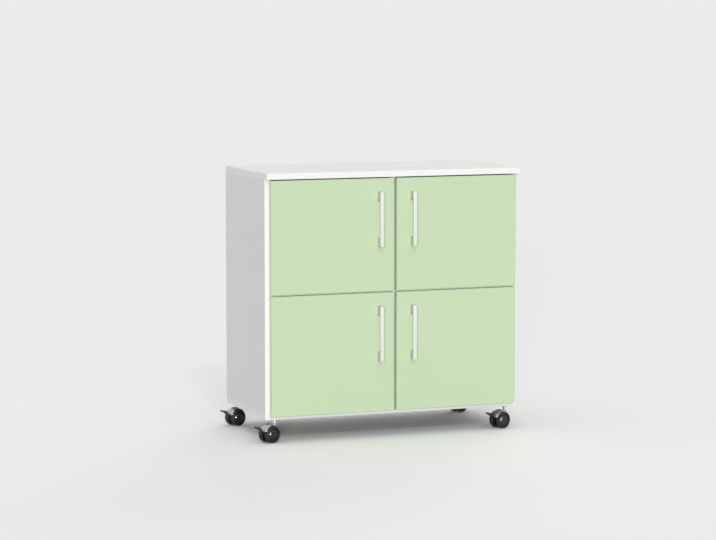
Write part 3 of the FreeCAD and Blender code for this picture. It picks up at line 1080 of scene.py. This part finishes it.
class Castor:
    """A braked twin-wheel castor with a ball-shaped hood.

    Its own axes: `trail` points the way the wheels trail, `across` along the axle towards the
    near wheel, and `up` along the stem.
    """

    def __init__(self, corner: Corner, sizes: CastorSizes = CastorSizes()) -> None:
        """Read the castor's axes from the frame's joints.

        Args:
            corner: The corner it stands at.
            sizes: The castor's sizes.
        """
        self.name = corner.value
        self.sizes = sizes
        self.stem, self.up = joint(f"{self.name}_castor_swivel")
        self.axle, self.across = joint(f"{self.name}_near_wheel_spin")
        self.pivot, _ = joint(f"{self.name}_brake_lever_press")
        away = (self.axle - self.stem) * [1.0, 1.0, 0.0]
        self.trail = away / np.linalg.norm(away)

    def build(self) -> None:
        """Make wheels, hood, lever and stem."""
        self.wheel("near", self.across)
        self.wheel("far", -self.across)
        self.hood()
        self.lever()
        self.mount()
        LOG.info("castor %s: wheels, hood, lever and stem", self.name)

    def wheel(self, which: str, outward: Array) -> None:
        """A polyamide disc with a bevelled ring, inside a polyurethane tyre.

        All three are turned profiles of radius and distance from the wheel's inner face, with
        a corner's rounding radius as a third number.

        Args:
            which: "near" or "far".
            outward: Direction of the wheel's outer face.
        """
        s = self.sizes
        body = f"{self.name}_{which}_wheel"
        core = s.wheel_radius - s.tread
        face = s.wheel_width - s.inset
        floor = face - s.groove
        top = face - s.step
        dish = top - s.dish
        hub = dish - s.hub_depth
        land = s.ring_radius - s.ring_bevel[0]
        bore = land - s.land
        boss = bore + s.bore_lap
        sunk = floor - s.ring_lap
        inside = core - s.tyre_lap
        disc = rounded([(0, s.inset, 0), (core, s.inset, 0.3 * MM), (core, face, 0.8 * MM),
                        (core - s.rim, face, 0.9 * MM), (core - s.rim, floor, 0.7 * MM),
                        (boss, floor, 0.1 * MM), (boss, dish, 0.1 * MM),
                        (s.hub + 0.5 * MM, dish, 0.3 * MM), (s.hub, hub, 0.3 * MM), (0, hub, 0)])
        ring = rounded([(bore, sunk, 0), (s.ring_radius, sunk, 0.1 * MM),
                        (s.ring_radius, top - s.ring_bevel[1], 0.8 * MM), (land, top, 1.4 * MM),
                        (bore, top, 0)])
        tyre = rounded([(inside, s.inset + 0.2 * MM, 0), (s.wheel_radius, 0.0, s.heel),
                        (s.wheel_radius, s.wheel_width, s.shoulder),
                        (inside, face + 0.1 * MM, 0)], 8)
        for part, profile, steps, crisp, finish, replaced in (
                ("disc", disc, 64, 35.0, NYLON, f"{self.name}_castor_{which}_wheel"),
                ("ring", ring, 72, 50.0, POLISHED_NYLON, ""),
                ("tyre", tyre, 72, 40.0, TREAD, "")):
            shape = turned(profile, self.axle + outward * s.wheel_inner_face, outward, steps)
            fit(add_piece(f"{body}_{part}", [shape], crisp), finish.material(), body,
                replaced)

    def hood(self) -> None:
        """The cast hood with a polished rolled rim along each side.

        A rim is a round bar at a fixed distance from the axle, from the skirt's edge over the
        top to the brow: centre + radius (cos a trail + sin a up), at the dome's half width.
        """
        s = self.sizes
        # Zinc die casting with a pearl chrome plate: silver grey with a blurred highlight.
        skin = HoodMetal(f"zinc_casting_pearl_chrome_{self.name}", "B9BBBD", (0.24, 0.34),
                         (0.8 * MM,) * 3, strength=0.25, detail=2.0, core=NYLON.colour,
                         middle=tuple(self.axle), inside=s.dome_inside + s.skin[0],
                         lowest=self.axle[2] + s.dome_skirt - s.skin[1])
        dress(frame["nodes"][f"{self.name}_castor_housing"], skin.material())
        edge = math.sqrt(s.dome_radius ** 2 - s.dome_half_width ** 2)
        middle = (edge + s.dome_inside) / 2
        turn = np.linspace(math.asin(s.dome_skirt / middle),
                           math.pi - math.asin(s.dome_brow / middle), 40)
        outward = np.outer(np.cos(turn), self.trail) + np.outer(np.sin(turn), self.up)
        bars = [bar(self.axle + outward * middle
                    + self.across * way * (s.dome_half_width - s.bead_sunk),
                    outward, self.across, s.bead, s.bead, s.roundness[0] * s.bead)
                for way in (-1, 1)]
        fit(add_piece(f"{self.name}_hood_rims", bars), CHROME.material(),
            f"{self.name}_castor")

    def lever(self) -> None:
        """The brake pedal: a tongue from its round eye that rises in an S and widens to a pad.

        With a running from nothing to the full turn and back, the centre line is
        (r sin a, r (1 - cos a)) up to the middle and its point reflection beyond.
        """
        s = self.sizes
        reach = 2.0 * s.lever_bend * math.sin(s.lever_turn)
        rise = 2.0 * s.lever_bend * (1.0 - math.cos(s.lever_turn))
        first = np.linspace(0.0, s.lever_turn, s.lever_steps[0])
        second = np.linspace(s.lever_turn, 0.0, s.lever_steps[1])[1:]
        along = np.concatenate([s.lever_bend * np.sin(first),
                                reach - s.lever_bend * np.sin(second)])
        height = np.concatenate([s.lever_bend * (1.0 - np.cos(first)),
                                 rise - s.lever_bend * (1.0 - np.cos(second))])
        tilt = np.concatenate([first, second])
        centres = self.pivot + np.outer(along, self.trail) + np.outer(height, self.up)
        normal = np.outer(-np.sin(tilt), self.trail) + np.outer(np.cos(tilt), self.up)
        widths = (s.lever_tongue, s.lever_tongue, s.lever_width, s.lever_tip_width)
        half_width = np.interp(along, (0.0, *s.lever_flare, reach), np.array(widths) / 2)
        into_end = np.clip((along - reach + s.lever_end) / s.lever_end, 0.0, 1.0)
        half_width = half_width - s.lever_end * (1.0 - np.sqrt(1.0 - into_end ** 2))
        half_thick = s.lever_thickness / 2 - s.lever_thinning * into_end ** 2
        half_eye = s.lever_tongue / 2
        eye = rounded([(0, -half_eye, 0), (s.lever_eye, -half_eye, 0.4 * MM),
                       (s.lever_eye, half_eye, 0.4 * MM), (0, half_eye, 0)])
        parts = [bar(centres, self.across, normal, half_width, half_thick, s.lever_edge),
                 turned(eye, self.pivot, self.across, 40)]
        parts += [self.pad_rib(centres[index], normal[index], half_width[index])
                  for index in s.rib_sections]
        fit(add_piece(f"{self.name}_brake_pedal", parts, 40.0), NYLON.material(),
            f"{self.name}_brake_lever", f"{self.name}_castor_brake_lever")

    def pad_rib(self, centre: Array, normal: Array, half_width: float) -> Surface:
        """One raised grip line across the pad.

        Args:
            centre: Point of the pad's centre line under the rib.
            normal: Unit vector out of the pad's upper face.
            half_width: Half the pad's width there.

        Returns:
            Points and quads of a round-topped bar.
        """
        s = self.sizes
        reach = half_width - s.rib_margin
        path = (centre + normal * s.lever_thickness / 2
                + np.outer(np.linspace(-reach, reach, 3), self.across))
        return bar(path, normal, np.cross(self.across, normal), s.rib, s.rib,
                   s.roundness[1] * s.rib)

    def mount(self) -> None:
        """The chrome stem with its collar and flange: one turned profile of radius and height."""
        s = self.sizes
        low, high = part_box(f"{self.name}_castor_plate")
        foot = np.array([self.stem[0], self.stem[1], 0.0])
        flange = high[2] - s.flange_thickness
        collar = flange - s.collar_height
        profile = rounded([(0, low[2], 0), (s.stem_radius, low[2], 0.5 * MM),
                           (s.stem_radius, collar, 0.4 * MM), (s.collar_radius, collar, 0.6 * MM),
                           (s.collar_radius, flange, 0.4 * MM), (s.flange_radius, flange, 0.6 * MM),
                           (s.flange_radius, high[2], 0.2 * MM), (0, high[2], 0)])
        fit(add_piece(f"{self.name}_castor_stem", [turned(profile, foot, self.up)]),
            CHROME.material(), "carcass", f"{self.name}_castor_plate")


@dataclass(frozen=True)
class Lamp:
    """A distant lamp.

    Attributes:
        side: Direction from the cabinet to the lamp.
        strength: Light on a face turned to it.
        spread: Its angle across, in degrees.
        mirrored: Whether shiny faces show it.
    """

    side: Triple
    strength: float
    spread: float
    mirrored: bool = True


@dataclass
class Studio:
    """Floor, light and camera.

    Attributes:
        floor_radii: Radii of the floor disc's innermost and outermost ring.
        floor_rings: Number of its rings.
        floor_columns: Number of its columns.
        floor_roughness: Roughness of its matt paint.
        floor_colour: Grey level of the floor as the object sees it.
        floor_shown: Grey level of the floor as the camera sees it.
        sky_shown: Grey level beyond the floor's edge.
        sky_side: Unit vector to the sky's brightest part.
        sky_low: Strength of the soft light from everywhere square to that and below.
        sky_high: Strength of the soft light from that direction.
        lamps: A broad low lamp in front, a small one above it and a weak broad one behind.
        camera_spot: Where the camera stands.
        camera_yaw: Its turn about the vertical, in degrees.
        camera_pitch: Its tilt from the level, in degrees.
        camera_lens: Its focal length in millimetres, on a sensor 36 mm wide.
    """

    floor_radii: Pair = (0.5, 3000.0)
    floor_rings: int = 12
    floor_columns: int = 48
    floor_roughness: float = 0.9
    floor_colour: float = 0.35
    floor_shown: float = 1.0
    sky_shown: float = 0.84
    sky_side: Triple = (0.0, 0.0, 1.0)
    sky_low: float = 0.02
    sky_high: float = 0.95
    lamps: tuple[Lamp, ...] = (Lamp((-0.40, -0.91, 0.105), 1.84, 12.0),
                               Lamp((-0.154, -0.811, 0.545), 0.35, 8.0),
                               Lamp((0.55, 0.75, 0.35), 0.6, 40.0, mirrored=False))
    camera_spot: Triple = (-2.7326, -7.1421, 1.2892)
    camera_yaw: float = -20.65
    camera_pitch: float = -6.08
    camera_lens: float = 127.65

    def build(self) -> None:
        """Lay the floor, light it and set the camera."""
        self.lay_floor()
        self.light_sky()
        self.hang_lamps()
        self.place_camera()
        LOG.info("studio: floor, sky, %d lamps and camera", len(self.lamps))

    def lay_floor(self) -> None:
        """A flat disc: point (i, j) lies at radius r_i and angle a_j, r_i growing in ratio."""
        radii = np.geomspace(*self.floor_radii, self.floor_rings)
        rings = circle(np.array([0.0, 0.0, 1.0]), self.floor_columns) * radii[:, None, None]
        points, quads = capped(rings[:, ::-1], np.zeros((2, 3)))
        floor = add_piece("studio_floor", [(points[:-1], quads[:-self.floor_columns])])
        coat = Coat("painted_studio_floor")
        coat.give(Base_Color=coat.stretch(coat.shown(), self.floor_colour, self.floor_shown),
                  Roughness=self.floor_roughness, Specular_IOR_Level=0.0)
        dress(floor, coat.material)

    def light_sky(self) -> None:
        """Soft light that grows evenly with (direction . brightest side) above nought."""
        world = bpy.data.worlds.new("studio_light")
        bpy.context.scene.world = world
        world.use_nodes = True
        graph = Graph(world.node_tree)
        facing = graph.add("VectorMath", "Value",
                           {0: graph.add("TexCoord", "Generated", {}), 1: self.sky_side},
                           operation="DOT_PRODUCT")
        light = graph.stretch(facing, self.sky_low, self.sky_high)
        seen = graph.add("Mix", 0, {0: graph.shown(), 2: light, 3: self.sky_shown})
        graph.feed(graph.tree.nodes["Background"],
                   {"Strength": seen, "Color": (1.0, 1.0, 1.0, 1.0)})

    def hang_lamps(self) -> None:
        """The distant lamps, each turned towards the cabinet."""
        for number, lamp in enumerate(self.lamps):
            light = bpy.data.lights.new(f"studio_lamp_{number}", "SUN")
            light.energy = lamp.strength
            light.angle = math.radians(lamp.spread)
            holder = add_object(light.name, light)
            holder.rotation_euler = Vector(lamp.side).to_track_quat("Z", "Y").to_euler()
            holder.visible_glossy = lamp.mirrored

    def place_camera(self) -> None:
        """A long lens from the left and a little above, turned towards the doors."""
        view = bpy.data.cameras.new("studio_camera")
        view.sensor_width = 36.0
        view.lens = self.camera_lens
        view.clip_end = 10000.0
        holder = add_object("studio_camera", view)
        holder.location = self.camera_spot
        holder.rotation_euler = (math.radians(90.0 + self.camera_pitch), 0.0,
                                 math.radians(self.camera_yaw))
        bpy.context.scene.camera = holder
        bpy.context.scene.view_settings.view_transform = "Standard"


def main() -> None:
    """Build every sub-assembly in order, then light and frame the cabinet."""
    Carcass().build()
    doors = tuple(Door(row, side) for row in Row for side in Side)
    for door in doors:
        door.build()
    Hinges(doors).build()
    for corner in Corner:
        Castor(corner).build()
    Studio().build()


if __name__ == "__main__":
    logging.basicConfig(level=logging.INFO, format="%(name)s: %(message)s")
    main()
